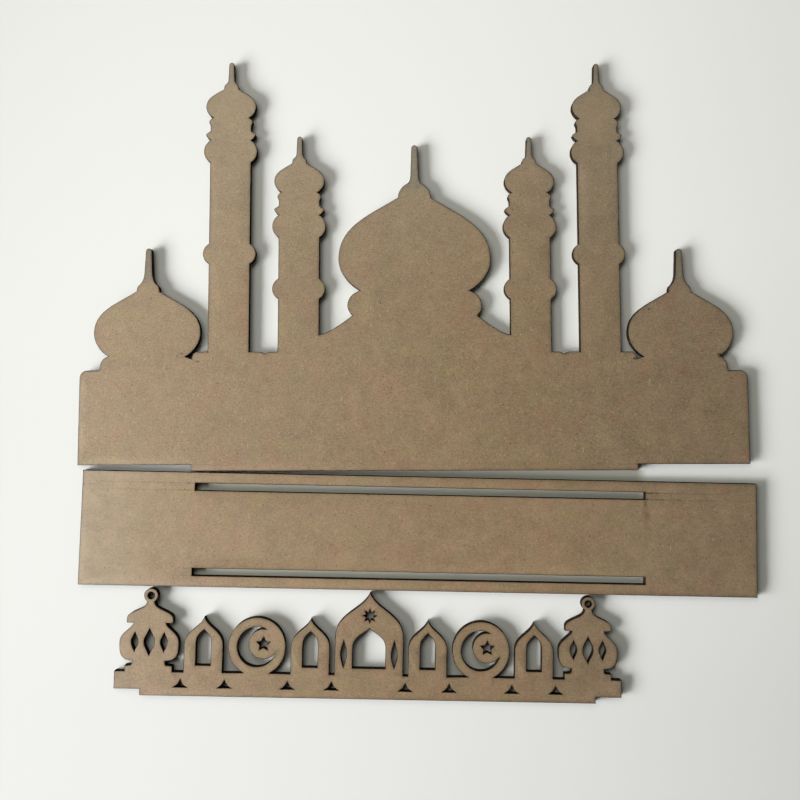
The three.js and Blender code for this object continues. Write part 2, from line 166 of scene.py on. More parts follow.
class Wire:
    """One output of a node, with Python's operators standing for Math nodes."""

    def __init__(self, finish, socket):
        self.finish = finish
        self.socket = socket

    def maths(self, operation, *values):
        """The result of one Math node on this value and others."""
        inputs = dict(enumerate((self, *values)))
        return self.finish.node("ShaderNodeMath", {"operation": operation}, inputs)

    def __add__(self, other):
        return self.maths("ADD", other)

    def __radd__(self, other):
        return self.maths("ADD", other)

    def __sub__(self, other):
        return self.maths("SUBTRACT", other)

    def __rsub__(self, other):
        return self.finish.node("ShaderNodeMath", {"operation": "SUBTRACT"}, {0: other, 1: self})

    def __mul__(self, other):
        return self.maths("MULTIPLY", other)

    def __rmul__(self, other):
        return self.maths("MULTIPLY", other)

    def __truediv__(self, other):
        return self.maths("DIVIDE", other)

    def __abs__(self):
        return self.maths("ABSOLUTE")

    def ramp(self, low, high, start=0.0, end=1.0):
        """Goes smoothly from start at low to end at high, and stays level outside."""
        node_inputs = {"Value": self, "From Min": low, "From Max": high, "To Min": start, "To Max": end}
        return self.finish.node("ShaderNodeMapRange", {"interpolation_type": "SMOOTHSTEP"}, node_inputs)


class Finish:
    """The node tree of a material or a room, with short calls for its nodes."""

    def __init__(self, owner, output="ShaderNodeOutputMaterial"):
        owner.use_nodes = True
        self.owner = owner
        self.tree = owner.node_tree
        self.tree.nodes.clear()
        self.output = self.tree.nodes.new(output)

    def node(self, kind, settings=None, inputs=None, output=0):
        """Adds a node, sets its settings, then its sockets, and returns one of its outputs."""
        node = self.tree.nodes.new(kind)
        for name, value in (settings or {}).items():
            setattr(node, name, value)
        for key, value in (inputs or {}).items():
            self.feed(node.inputs[key], value)
        return Wire(self, node.outputs[output])

    def feed(self, socket, value):
        """Links a wire to a socket, or writes a plain value on it."""
        if isinstance(value, Wire):
            self.tree.links.new(value.socket, socket)
        elif socket.type == "RGBA" and len(value) == 3:
            socket.default_value = (*value, 1.0)
        else:
            socket.default_value = value

    def place(self, turn=0.0, centre=(0.0, 0.0, 0.0)):
        """Object coordinates in millimetres, centred and turned on a board."""
        spot = self.node("ShaderNodeTexCoord", output="Object")
        inputs = {"Vector": spot, "Location": centre, "Rotation": (0.0, 0.0, turn),
                  "Scale": (MM, MM, MM)}
        return self.node("ShaderNodeMapping", {"vector_type": "TEXTURE"}, inputs)

    def parts(self, vector):
        """The three numbers of a vector."""
        node = self.node("ShaderNodeSeparateXYZ", inputs={0: vector}).socket.node
        return [Wire(self, socket) for socket in node.outputs]

    def stretched(self, vector, factors, turn=0.0):
        """The vector scaled along each axis after a turn about the third."""
        inputs = {"Vector": vector, "Rotation": (0.0, 0.0, turn), "Scale": factors}
        return self.node("ShaderNodeMapping", {"vector_type": "POINT"}, inputs)

    def noise(self, vector, size, detail=2.0, rough=0.5, seed=0.0):
        """Smooth noise from 0 to 1, whose blots are about size millimetres across."""
        inputs = {"Vector": vector, "W": seed, "Scale": 1.0 / size, "Detail": detail,
                  "Roughness": rough}
        return self.node("ShaderNodeTexNoise", {"noise_dimensions": "4D"}, inputs)

    def layer(self, vector, kind, seed):
        """One of the named noises, at a board's own seed."""
        if kind.stretch:
            vector = self.stretched(vector, kind.stretch, kind.turn)
        return self.noise(vector, kind.size, kind.detail, kind.rough, seed + kind.step)

    def blend(self, first, second, mask, mode="MIX"):
        """One colour over another where the mask is 1."""
        settings = {"data_type": "RGBA", "blend_type": mode, "clamp_factor": True}
        return self.node("ShaderNodeMix", settings, {0: mask, 6: first, 7: second}, output=2)

    def scaled(self, colour, factor):
        """A colour made lighter or darker by a factor."""
        inputs = {0: colour, "Scale": factor}
        return self.node("ShaderNodeVectorMath", {"operation": "SCALE"}, inputs)

    def added(self, first, second):
        """Two colours summed part by part."""
        return self.node("ShaderNodeVectorMath", {"operation": "ADD"}, {0: first, 1: second})

    def bump(self, height, distance, strength=1.0):
        """A normal tipped by a height in millimetres."""
        inputs = {"Height": height, "Distance": distance, "Strength": strength}
        return self.node("ShaderNodeBump", inputs=inputs)

    def shader(self, **sockets):
        """A principled shader with the sockets that are named."""
        names = {name.replace("_", " "): value for name, value in sockets.items()}
        return self.node("ShaderNodeBsdfPrincipled", inputs=names)

    def show(self, shader):
        """Sends a shader to the output, and returns the material or the room."""
        self.tree.links.new(shader.socket, self.output.inputs["Surface"])
        return self.owner


def merged(obj):
    """A node's points and triangles, with corners that lie on each other made one."""
    mesh = obj.data
    points = np.empty(len(mesh.vertices) * 3)
    mesh.vertices.foreach_get("co", points)
    points = points.reshape(-1, 3)
    mesh.calc_loop_triangles()
    corners = np.empty(len(mesh.loop_triangles) * 3, dtype=np.int32)
    mesh.loop_triangles.foreach_get("vertices", corners)
    keys = np.round(points / WELD).astype(np.int64)
    _, first, back = np.unique(keys, axis=0, return_index=True, return_inverse=True)
    return points[first], back.ravel()[corners].reshape(-1, 3)


def run_order(following):
    """Sorts edges into closed runs, where following[i] is the edge after edge i.

    Each edge looks ahead 1, 2, 4, 8 and more steps, and keeps the lowest number it has seen: that
    is its run's first edge. The same doubling then counts the steps from each edge to that one."""
    count = len(following)
    first = np.arange(count)
    leap = following.copy()
    doublings = int(math.ceil(math.log2(count))) + 1
    for _ in range(doublings):
        first = np.minimum(first, first[leap])
        leap = leap[leap]
    home = first == np.arange(count)
    leap = np.where(home, np.arange(count), following)
    steps = np.where(home, 0, 1)
    for _ in range(doublings):
        steps = steps + steps[leap]
        leap = leap[leap]
    length = np.bincount(first, minlength=count)[first]
    place = (length - steps) % length
    order = np.lexsort((place, first))
    cuts = np.flatnonzero(np.diff(first[order])) + 1
    return np.split(order, cuts)


def rims(points, triangles):
    """The outline and the holes of a board's upper face, in millimetres, board on the left.

    An edge that only one triangle of the upper face has is on a rim."""
    top = points[:, 2].max()
    upper = triangles[(points[triangles, 2] > top - WELD).all(axis=1)]
    start = upper.ravel()
    end = np.roll(upper, -1, axis=1).ravel()
    count = len(points)
    alone = ~np.isin(start * count + end, end * count + start)
    start, end = start[alone], end[alone]
    by_start = np.argsort(start)
    following = by_start[np.searchsorted(start[by_start], end)]
    flat = points[:, :2] / MM
    return [flat[start[run]] for run in run_order(following)]


def sideways(run):
    """At each corner of a run, the step that moves both edges beside it outwards by 1."""
    ahead = np.roll(run, -1, axis=0) - run
    ahead /= np.linalg.norm(ahead, axis=1, keepdims=True)
    out = np.stack([ahead[:, 1], -ahead[:, 0]], axis=1)
    before = np.roll(out, 1, axis=0)
    opening = 1 + np.sum(out * before, axis=1, keepdims=True)
    return (out + before) / np.maximum(opening, MITRE_LIMIT)


def batches(spots, run):
    """The spots' numbers in batches that keep each table of spots by edges small."""
    return np.array_split(np.arange(len(spots)), max(1, len(spots) * len(run) // BATCH))


def edge_distance(spots, runs):
    """Distance of each spot from the nearest edge: to the foot of its normal, or to a corner."""
    best = np.full(len(spots), np.inf)
    for run in runs:
        along = np.roll(run, -1, axis=0) - run
        size = np.sum(along ** 2, axis=1)
        for part in batches(spots, run):
            away = spots[part, None] - run
            share = np.clip(np.sum(away * along, axis=2) / size, 0, 1)
            gap = away - share[..., None] * along
            best[part] = np.minimum(best[part], np.sqrt(np.sum(gap ** 2, axis=2).min(axis=1)))
    return best


def inside(spots, runs):
    """Whether each spot is on the board: a line to its right crosses an odd number of edges."""
    crossings = np.zeros(len(spots), dtype=int)
    for run in runs:
        low, high = run, np.roll(run, -1, axis=0)
        rise = high[:, 1] - low[:, 1]
        slope = (high[:, 0] - low[:, 0]) / np.where(rise == 0, 1, rise)
        for part in batches(spots, run):
            level = spots[part, 1, None]
            spans = (low[:, 1] > level) != (high[:, 1] > level)
            meet = low[:, 0] + (level - low[:, 1]) * slope
            crossings[part] += np.sum(spans & (meet > spots[part, 0, None]), axis=1)
    return crossings % 2 == 1


def inner_points(runs):
    """Points over the face: rings at set distances from the rims, and a square grid between them.

    A ring point that another rim comes closer to than its own distance is left out."""
    keep = []
    for gap in HALO_RINGS:
        ring = np.vstack([run - gap * sideways(run) for run in runs])
        ring = ring[inside(ring, runs)]
        ring = ring[edge_distance(ring, runs) > RING_CLEARANCE * gap]
        keep.append(thinned(ring, RING_THINNING * gap))
    low = np.min([run.min(axis=0) for run in runs], axis=0)
    high = np.max([run.max(axis=0) for run in runs], axis=0)
    across, up = np.meshgrid(*(np.arange(low[k], high[k], GRID_STEP) for k in range(2)))
    grid = np.stack([across.ravel(), up.ravel()], axis=1)
    grid = grid[inside(grid, runs)]
    keep.append(grid[edge_distance(grid, runs) > GRID_MARGIN])
    return np.vstack(keep)


def thinned(spots, gap):
    """One spot for each square of a mesh as wide as the gap."""
    _, first = np.unique(np.round(spots / gap).astype(np.int64), axis=0, return_index=True)
    return spots[np.sort(first)]


def filled(rim_runs, extra):
    """Triangles that fill the face between rim runs, through the extra points.

    They are the triangles of a constrained Delaunay mesh whose middles lie on the board."""
    spots = np.vstack(rim_runs + [extra])
    edges = []
    first = 0
    for run in rim_runs:
        numbers = np.arange(first, first + len(run))
        edges.append(np.stack([numbers, np.roll(numbers, -1)], axis=1))
        first += len(run)
    result = delaunay_2d_cdt([Vector(s) for s in spots], np.vstack(edges).tolist(), [], 0, WELD)
    places, faces, sources = result[0], result[2], result[3]
    if len(places) != len(spots):
        raise RuntimeError(f"the face's rims cross: {len(places)} points from {len(spots)}")
    back = np.array([s[0] for s in sources])
    triangles = back[np.array(faces)]
    middles = spots[triangles].mean(axis=1)
    triangles = triangles[inside(middles, rim_runs)]
    a, b, c = (spots[triangles[:, k]] for k in range(3))
    area = (b[:, 0] - a[:, 0]) * (c[:, 1] - a[:, 1]) - (b[:, 1] - a[:, 1]) * (c[:, 0] - a[:, 0])
    wide = np.abs(area) > SMALLEST_AREA
    triangles, area = triangles[wide], area[wide]
    triangles[area < 0] = triangles[area < 0][:, ::-1]
    return triangles


def brim_sink(shape, gap):
    """How far the upper face lies below its middle: the brim's drop, times the square of the share
    of the brim's reach that is left."""
    return shape.brim_drop / MM * np.clip(1 - gap / (shape.brim_reach / MM), 0, 1) ** 2


def wall_profile(shape, thickness):
    """The cut's section from the lower to the upper face, as pairs of inset and height.

    A small break at the foot, a wall that leans in by the taper towards the foot and is a touch
    hollow half-way, and a lip, a quarter of an ellipse, that ends where the face's brim begins."""
    foot = shape.foot_width / MM
    lip, drop, taper = shape.lip_width / MM, shape.lip_depth / MM, shape.taper / MM
    share = np.linspace(0, 1, shape.wall_rows + 1)
    heights = foot + share * (thickness - drop - foot)
    insets = taper * (1 - share) + WALL_HOLLOW * np.sin(np.pi * share)
    turn = np.linspace(0, math.pi / 2, LIP_STEPS + 1)[1:]
    lip_insets = lip * (1 - np.cos(turn))
    lip_heights = thickness - drop + (drop - brim_sink(shape, lip)) * np.sin(turn)
    start = [[insets[0] + foot, 0.0]]
    wall = np.stack([insets, heights], axis=1)
    over = np.stack([lip_insets, lip_heights], axis=1)
    return np.vstack([start, wall, over])


def carried(run, section, base, first):
    """The section carried round one run: its points, its four-sided faces and the wall's map.

    Row k is the run moved inwards by the section's inset at that row and lifted to its height. The
    map holds each corner's way along the run and its height."""
    rows, count = len(section), len(run)
    flat = run[None] - section[:, 0, None, None] * sideways(run)[None]
    height = np.broadcast_to(section[:, 1, None, None] + base, (rows, count, 1))
    spots = np.concatenate([flat, height], axis=2).reshape(-1, 3)
    numbers = first + np.arange(rows * count).reshape(rows, count)
    after = np.roll(numbers, -1, axis=1)
    quads = np.stack([numbers[:-1], after[:-1], after[1:], numbers[1:]], axis=2).reshape(-1, 4)
    length = np.linalg.norm(np.roll(run, -1, axis=0) - run, axis=1)
    path = np.concatenate([[0], np.cumsum(length)])
    size = (rows - 1, count)
    left, right = np.broadcast_to(path[:-1], size), np.broadcast_to(path[1:], size)
    low = np.broadcast_to(section[:-1, 1, None], size)
    high = np.broadcast_to(section[1:, 1, None], size)
    corners = [left, low, right, low, right, high, left, high]
    return spots, quads, np.stack(corners, axis=2).reshape(-1, 4, 2)


def board_mesh(name, node, shape):
    """A board's mesh from its outline: the section carried round every rim, and two faces.

    The walls share their end rows with the faces, so the board is one closed shell."""
    points, triangles = merged(node)
    runs = rims(points, triangles)
    base = points[:, 2].min() / MM
    thickness = points[:, 2].max() / MM - base
    section = wall_profile(shape, thickness)
    starts = len(section) * np.cumsum([0] + [len(run) for run in runs])
    walls = [carried(run, section, base, start) for run, start in zip(runs, starts)]
    spots, quads, marks = (np.vstack(arrays) for arrays in zip(*walls))
    extra = inner_points(runs)
    sink = brim_sink(shape, edge_distance(extra, runs))
    upper = (len(section) - 1, base + thickness - sink, False)
    lower = (0, np.full(len(extra), base), True)
    faces = []
    for row, level, flip in (upper, lower):
        rim = [start + row * len(run) + np.arange(len(run)) for run, start in zip(runs, starts)]
        local = filled([spots[numbers, :2] for numbers in rim], extra)
        face = np.concatenate(rim + [len(spots) + np.arange(len(extra))])[local]
        faces.append(face[:, ::-1] if flip else face)
        spots = np.vstack([spots, np.column_stack([extra, level])])
    return put_together(name, spots, quads, marks, np.vstack(faces), runs)


def put_together(name, spots, quads, marks, faces, runs):
    """A mesh from a board's arrays: smooth walls, flat faces, rim distances and the wall's map."""
    mesh = bpy.data.meshes.new(name)
    corners = np.concatenate([quads.ravel(), faces.ravel()])
    counts = [len(quads), len(faces)]
    sizes = np.repeat([4, 3], counts)
    mesh.vertices.add(len(spots))
    mesh.vertices.foreach_set("co", (spots * MM).ravel())
    mesh.loops.add(len(corners))
    mesh.loops.foreach_set("vertex_index", corners.astype(np.int32))
    mesh.polygons.add(len(sizes))
    mesh.polygons.foreach_set("loop_start", (np.cumsum(sizes) - sizes).astype(np.int32))
    mesh.polygons.foreach_set("material_index", np.repeat([1, 0], counts).astype(np.int32))
    mesh.polygons.foreach_set("use_smooth", np.repeat([True, False], counts))
    mesh.update(calc_edges=True)
    if mesh.validate():
        raise RuntimeError(f"{name}: the mesh has faults")
    mesh.set_sharp_from_angle(angle=SHARP_CORNER)
    gap = np.minimum(edge_distance(spots[:, :2], runs), HALO_REACH)
    mesh.attributes.new("rim_gap", "FLOAT", "POINT").data.foreach_set("value", gap.astype(np.float32))
    layer = mesh.uv_layers.new(name="Cut")
    flat = np.vstack([marks.reshape(-1, 2), spots[faces.ravel(), :2]])
    layer.data.foreach_set("uv", flat.astype(np.float32).ravel())
    return mesh


class Noise(NamedTuple):
    """A noise: its size in millimetres, how broken it is, its step from the seed, and its stretch."""
    size: float
    detail: float = 2.0
    rough: float = 0.5
    step: float = 0.0
    stretch: tuple = ()
    turn: float = 0.0


FACE_NOISES = {
    "blots": Noise(34, 3, 0.55),
    "patches": Noise(5.5, 3, 0.6, 3.0),
    "tint": Noise(11, 4, 0.75, 7.0),
    "grain": Noise(0.6, 3, 0.75, 11.0),
    "across": Noise(0.55, 2, 0.6, 17.0, (0.45, 1.5, 1.0), 0.02),
    "along": Noise(0.55, 2, 0.6, 19.0, (0.45, 1.5, 1.0), 1.58),
    "dark": Noise(1.0, 2, 0.5, 23.0),
    "pale": Noise(0.7, 2, 0.5, 29.0, (1.0, 0.4, 1.0), 0.3),
    "rim": Noise(2.2, 2, 0.5, 31.0),
}

CUT_NOISES = {
    "lines": Noise(0.22, 2, 0.6, 0.0, (1.0, 0.12, 1.0)),
    "cloud": Noise(1.6, 2, 0.5, 5.0),
    "layers": Noise(0.35, 2, 0.5, 9.0, (0.08, 1.0, 1.0)),
}

# How far the noises move the face's tone and its roughness, and its fall to the right per millimetre,
# which is painted shade: the face is darker towards the right and lighter towards the left.
BLOT_SHARE = 0.2
PATCH_SHARE = 0.64
GRAIN_SHARE = 1.6
FIBRE_SHARE = 0.95
ROUGH_SHARE = 0.12
PAINTED_SHADE_RIGHTWARD = -0.0004

# The smoke beside every cut: where it starts to fade and ends, its least strength and its noise's.
SMOKE_FADE = (0.2, 1.5)
SMOKE_LEAST = 0.12
SMOKE_SHARE = 0.3

# A smoke streak: the share of its width that is full, how far its ends fade in millimetres, its
# strength at the last end, its dots with the range in which they show, and its wavering line.
STREAK_CORE = 0.2
STREAK_STOP = 0.2
STREAK_LAST = 0.25
STREAK_DOTS = Noise(1.1, 2, 0.6, 0.0, (1.0, 0.4, 1.0))
DOT_RANGE = (0.5, 0.68)
STREAK_WAVER = Noise(5.0, 2, 0.6, 3.0, (1.0, 0.3, 1.0))
WAVER_SHARE = 0.55

# A smudge: the noise that clouds it, its least strength and its noise's.
SMUDGE_CLOUD = Noise(1.8, 2, 0.6)
SMUDGE_LEAST = 0.6
SMUDGE_SHARE = 0.8

# The reach of a spot's mask through the board, so long that the height doesn't count.
THROUGH = 1000.0

# The cut's tone: its level, how far the noises move it, its full range, and the lip's heights.
CUT_LEVEL = 0.65
LINE_SHARE = 1.3
CLOUD_SHARE = 0.8
LAYER_SHARE = 0.5
CUT_RANGE = (0.0, 1.4)
LIP_HEIGHTS = (2.94, 3.02)

# The cut's roughness, how far the burn lines move it, and its gloss.
CUT_ROUGHNESS = 0.85
CUT_ROUGH_SHARE = 0.2
CUT_GLOSS = 0.1

# The fine relief of the face and of the cut: its height in metres, and its strength.
FACE_RELIEF = (0.03 * MM, 0.6)
CUT_RELIEF = (0.05 * MM, 0.8)

# Where a fleck starts and is whole on its noise, and how much it covers.
DARK_FLECK = (0.652, 0.7, 0.85)
PALE_FLECK = (0.65, 0.72, 0.75)

# What the face's colour is multiplied by, in its three parts.
ROSY_TINT = (1.075, 0.967, 0.99)
OLIVE_TINT = (0.963, 1.024, 0.905)
# Painted sheen: paler and bluer towards one end of a board.
PAINTED_SHEEN_TINT = (1.06, 1.17, 1.3)
# Painted light: cooler and a touch darker towards the right.
PAINTED_COOL_LIGHT_TINT = (0.95, 0.99, 1.09)
FINIAL_TINT = (0.82, 0.94, 1.14)
FLECK_TINT = (1.6, 1.62, 1.65)
# Pale scratches, and painted sheen on the tall minarets' tops.
SCRATCH_AND_SHEEN_TINT = (1.7, 1.75, 1.8)
LIP_TINT = (0.5, 0.46, 0.44)

# Where the noise turns the face rosy and olive, where the right-hand tint of painted cooler light
# grows, and how far from its middle line a finial's scorch ends, the last two in millimetres.
ROSY_RANGE = (0.5, 0.34)
OLIVE_RANGE = (0.5, 0.66)
PAINTED_COOL_LIGHT_RANGE = (30, 130)
FINIAL_SIDES = (6, 8)

# What the burnt colour is multiplied by at its darkest and at its lightest.
CHAR_TINT = (0.25, 0.25, 0.25)
SCORCH_TINT = (1.6, 1.6, 1.6)

# How bright each part of a colour looks, and how strongly the screen bends it.
BRIGHTNESS = np.array([0.2126, 0.7152, 0.0722])
SCREEN_BEND = 0.46


class BoardLook(NamedTuple):
    """How one board differs from the others: its noise, place and tones, and the marks on it.

    The marks are in millimetres from the centre, which is the middle of the foot of the mosque board's
    block, or of the other boards' boxes. A streak is its first end, its last end, its level, width and
    strength. A smudge, a scratch or a spot of painted sheen is its place, its two reaches, its turn and
    strength. The painted sheen at one end is an axis and the two places between which the face is
    painted paler and bluer.
    A finial is its middle line, the levels between which the scorch grows, and its strength."""
    seed: float
    centre: tuple
    turn: float
    level: float
    contrast: float
    painted_sheen_end: tuple
    streaks: tuple = ()
    smudges: tuple = ()
    scratches_and_sheen: tuple = ()
    finials: tuple = ()


MOSQUE_STREAKS = ((-100, -78, 0.1, 0.3, 0.75), (100, 76, 0.1, 0.3, 0.6))
MOSQUE_SMUDGES = (
    (-104.6, 49.6, 0.9, 0.7, 0.0, 1.1), (-97.4, 46.1, 1.3, 0.7, 0.2, 1.0),
    (98.9, 47.4, 1.1, 0.9, 0.0, 1.2), (137.6, 49.1, 2.2, 0.9, -0.1, 1.3),
    (105.9, 69.6, 0.7, 0.6, 0.0, 1.4), (-111.4, 42.8, 0.5, 0.4, 0.0, 0.9),
    (-88.3, 36.4, 0.7, 0.4, 0.5, 1.3), (-101.3, 32.3, 0.4, 0.3, 0.0, 1.1),
    (-120.1, 93.0, 7.0, 17.0, 0.0, 0.3))
MOSQUE_SCRATCHES_AND_SHEEN = (
    (105.4, 36.9, 1.9, 0.36, 1.35, 1.0), (-112.3, 43.3, 1.5, 0.34, 1.3, 1.0),
    (103.2, 44.9, 0.9, 0.3, 0.1, 0.6), (105.2, 33.4, 0.9, 0.25, 1.2, 0.5),
    (-60.0, 22.0, 0.9, 0.25, 0.9, 0.6), (34.0, 12.0, 1.1, 0.25, 2.2, 0.6),
    # The last two are painted sheen, not scratches: large pale spots over the tall minarets' tops.
    (83.8, 160.0, 15.0, 28.0, 0.0, 0.17), (-83.8, 160.0, 15.0, 28.0, 0.0, 0.08))
MOSQUE_FINIALS = (
    (0.0, 119.0, 130.0, 1.0), (-52.4, 136.0, 142.0, 0.8), (52.4, 136.0, 142.0, 1.0),
    (-83.8, 170.5, 176.5, 0.8), (83.8, 170.5, 176.5, 1.0),
    (-120.1, 77.0, 87.0, 1.0), (120.1, 77.0, 87.0, 1.0))

SLOT_REAR = SLOT_LEVEL + SLOT_HALF
SLOT_FRONT = SLOT_LEVEL - SLOT_HALF
BASE_STREAKS = (
    (-SLOT_END, -150, SLOT_REAR, 0.4, 0.8), (-SLOT_END, -150, SLOT_FRONT, 0.4, 0.9),
    (SLOT_END, 150, SLOT_REAR - 0.3, 0.4, 0.9), (SLOT_END, 150, SLOT_FRONT, 0.4, 1.0),
    (SLOT_END, SLOT_END + 7, SLOT_REAR - 0.4, 0.5, 1.0),
    (SLOT_END, SLOT_END + 6, SLOT_FRONT + 0.2, 0.5, 1.0),
    (-SLOT_END, -118, -SLOT_REAR, 0.35, 0.6), (-SLOT_END, -114, -SLOT_FRONT, 0.35, 0.7))
BASE_SMUDGES = (
    (SLOT_END, 15.2, 1.3, 2.4, 0.0, 0.5), (SLOT_END + 0.4, 10.0, 2.6, 7.5, 0.0, 0.3),
    (SLOT_END + 2.0, 18.6, 7.0, 3.0, 0.0, 0.2), (-149.6, 18.9, 1.4, 0.9, 0.0, 0.6),
    (-146.0, 19.0, 4.0, 0.5, 0.0, 0.3), (-104.6, 17.4, 0.6, 0.5, 0.0, 0.9),
    (-106.4, 19.2, 0.5, 0.4, 0.0, 0.7))


def speck_colour(colour):
    """The colour that fine specks add: it moves the three parts of a colour by alike steps on screen.

    Each part is the colour's part to the power of the screen's bend, scaled to the colour's own
    brightness."""
    parts = np.array(colour)
    steps = parts ** SCREEN_BEND
    return tuple(float(v) for v in steps * (parts @ BRIGHTNESS) / (steps @ BRIGHTNESS))


def tinted(colour, factors):
    """A colour with each of its three parts scaled."""
    return tuple(min(1.0, part * factor) for part, factor in zip(colour, factors))


def face_hue(f, x, y, tint, face, look):
    """The face's colour before its tone: rosy and olive by turns, with painted sheen towards one end,
    painted cooler light towards the right, and its finials.
    """
    hue = f.blend(face, tinted(face, ROSY_TINT), tint.ramp(*ROSY_RANGE))
    hue = f.blend(hue, tinted(face, OLIVE_TINT), tint.ramp(*OLIVE_RANGE))
    # Painted sheen: the face grows paler and bluer towards one end.
    axis, low, high = look.painted_sheen_end
    hue = f.blend(hue, tinted(face, PAINTED_SHEEN_TINT), (x if axis == "x" else y).ramp(low, high))
    # Painted light: the face turns cooler towards the right.
    hue = f.blend(hue, PAINTED_COOL_LIGHT_TINT, x.ramp(*PAINTED_COOL_LIGHT_RANGE), "MULTIPLY")
    for middle, foot, top, strength in look.finials:
        stem = abs(x - middle).ramp(*FINIAL_SIDES, strength, 0.0) * y.ramp(foot, top)
        hue = f.blend(hue, FINIAL_TINT, stem, "MULTIPLY")
    return hue


def streak_mask(f, at, x, y, left, right, level, width, strength):
    """A faint smoke line at one level, darkest and with dark dots at its first end."""
    low, high = min(left, right), max(left, right)
    side = abs(y - level).ramp(STREAK_CORE * width, width, 1.0, 0.0)
    if right > left:
        fade = x.ramp(left, right, 1.0, STREAK_LAST)
    else:
        fade = x.ramp(right, left, STREAK_LAST, 1.0)
    ends = x.ramp(low - STREAK_STOP, low + STREAK_STOP)
    ends = ends * x.ramp(high - STREAK_STOP, high + STREAK_STOP, 1.0, 0.0)
    dots = f.layer(at, STREAK_DOTS, level).ramp(*DOT_RANGE)
    waver = WAVER_SHARE * f.layer(at, STREAK_WAVER, level)
    return side * fade * ends * (waver + dots * fade * fade * fade) * strength


def spot_mask(f, at, x, y, reach_x, reach_y, turn):
    """A soft oval spot, 1 at its middle and 0 at its reach."""
    inputs = {"Vector": at, "Location": (x, y, 0.0), "Rotation": (0.0, 0.0, turn),
              "Scale": (reach_x, reach_y, THROUGH)}
    local = f.node("ShaderNodeMapping", {"vector_type": "TEXTURE"}, inputs)
    away = f.node("ShaderNodeVectorMath", {"operation": "LENGTH"}, {0: local}, output="Value")
    return away.ramp(0.0, 1.0, 1.0, 0.0)


def smoke_mask(f, at, x, y, rim, look):
    """Where smoke has browned the face: along every cut, in streaks and in smudges."""
    gap = f.node("ShaderNodeAttribute", {"attribute_name": "rim_gap"}, output="Fac")
    smoke = gap.ramp(*SMOKE_FADE, 1.0, 0.0) * (SMOKE_LEAST + SMOKE_SHARE * rim)
    for streak in look.streaks:
        smoke = smoke + streak_mask(f, at, x, y, *streak)
    for *spot, strength in look.smudges:
        cloud = SMUDGE_LEAST + SMUDGE_SHARE * f.layer(at, SMUDGE_CLOUD, spot[0])
        smoke = smoke + spot_mask(f, at, *spot) * cloud * strength
    return smoke


def face_finish(shape_name, colours, look):
    """The pressed face: fine crossed fibres, dark and pale flecks, faint blots, smoke marks and pale
    scratches, with painted sheen and painted shade.
    """
    f = Finish(bpy.data.materials.new(f"{shape_name}_face"))
    at = f.place(look.turn, look.centre)
    x, y, _ = f.parts(at)
    noise = {name: f.layer(at, kind, look.seed) for name, kind in FACE_NOISES.items()}
    off = {name: value - 0.5 for name, value in noise.items()}
    fibre = off["across"] * 0.5 + off["along"] * 0.5
    tone = 1.0 + off["blots"] * BLOT_SHARE + off["patches"] * PATCH_SHARE
    # Painted shade: the tone falls towards the right.
    tone = tone * (look.level + x * PAINTED_SHADE_RIGHTWARD)
    fine = (off["grain"] * GRAIN_SHARE + fibre * FIBRE_SHARE) * look.contrast
    face, smoke = colours.face, colours.smoke
    hue = face_hue(f, x, y, noise["tint"], face, look)
    colour = f.added(f.scaled(hue, tone), f.scaled(speck_colour(face), fine))
    low, high, strength = DARK_FLECK
    colour = f.blend(colour, smoke, noise["dark"].ramp(low, high) * strength)
    low, high, strength = PALE_FLECK
    colour = f.blend(colour, tinted(face, FLECK_TINT), noise["pale"].ramp(low, high) * strength)
    colour = f.blend(colour, smoke, smoke_mask(f, at, x, y, noise["rim"], look))
    # Pale scratches, and spots of painted sheen.
    for *spot, strength in look.scratches_and_sheen:
        colour = f.blend(colour, tinted(face, SCRATCH_AND_SHEEN_TINT), spot_mask(f, at, *spot) * strength)
    rough = colours.roughness + (off["patches"] + off["grain"]) * ROUGH_SHARE
    normal = f.bump(noise["grain"] * 0.5 + fibre * 0.5, *FACE_RELIEF)
    return f.show(f.shader(
        Base_Color=colour, Roughness=rough, Normal=normal, Specular_IOR_Level=colours.gloss))


def cut_finish(shape_name, colours):
    """The laser's wall: upright burn lines, clouds and layers on the cut's own map, and a paler lip."""
    f = Finish(bpy.data.materials.new(f"{shape_name}_cut"))
    cut = f.node("ShaderNodeUVMap", {"uv_map": "Cut"})
    _, height, _ = f.parts(cut)
    lines, cloud, layers = (f.layer(cut, kind, 0.0) for kind in CUT_NOISES.values())
    tone = CUT_LEVEL + (lines - 0.5) * LINE_SHARE + (cloud - 0.5) * CLOUD_SHARE
    tone = tone + (layers - 0.5) * LAYER_SHARE
    char, scorch = tinted(colours.burnt, CHAR_TINT), tinted(colours.burnt, SCORCH_TINT)
    burnt = f.blend(char, scorch, tone.ramp(*CUT_RANGE))
    colour = f.blend(burnt, tinted(colours.face, LIP_TINT), height.ramp(*LIP_HEIGHTS))
    normal = f.bump(lines * 0.6 + cloud * 0.4, *CUT_RELIEF)
    rough = CUT_ROUGHNESS + (lines - 0.5) * CUT_ROUGH_SHARE
    return f.show(f.shader(
        Base_Color=colour, Roughness=rough, Normal=normal, Specular_IOR_Level=CUT_GLOSS))


def box_middle(node):
    """The middle of a node's box, on the table."""
    low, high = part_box(node)
    return ((low[0] + high[0]) / 2, (low[1] + high[1]) / 2, 0.0)


def dress(context, name, node, body, look):
    """Makes a board's piece, gives it its finish and lets it ride in place of its solid."""
    scene = context.scene
    mesh = board_mesh(name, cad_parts[node], scene.decoration_shape)
    piece = bpy.data.objects.new(name, mesh)
    scene.collection.objects.link(piece)
    mesh.materials.append(face_finish(name, scene.decoration_finish, look))
    mesh.materials.append(cut_finish(name, scene.decoration_finish))
    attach(piece, body)
    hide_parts(node)


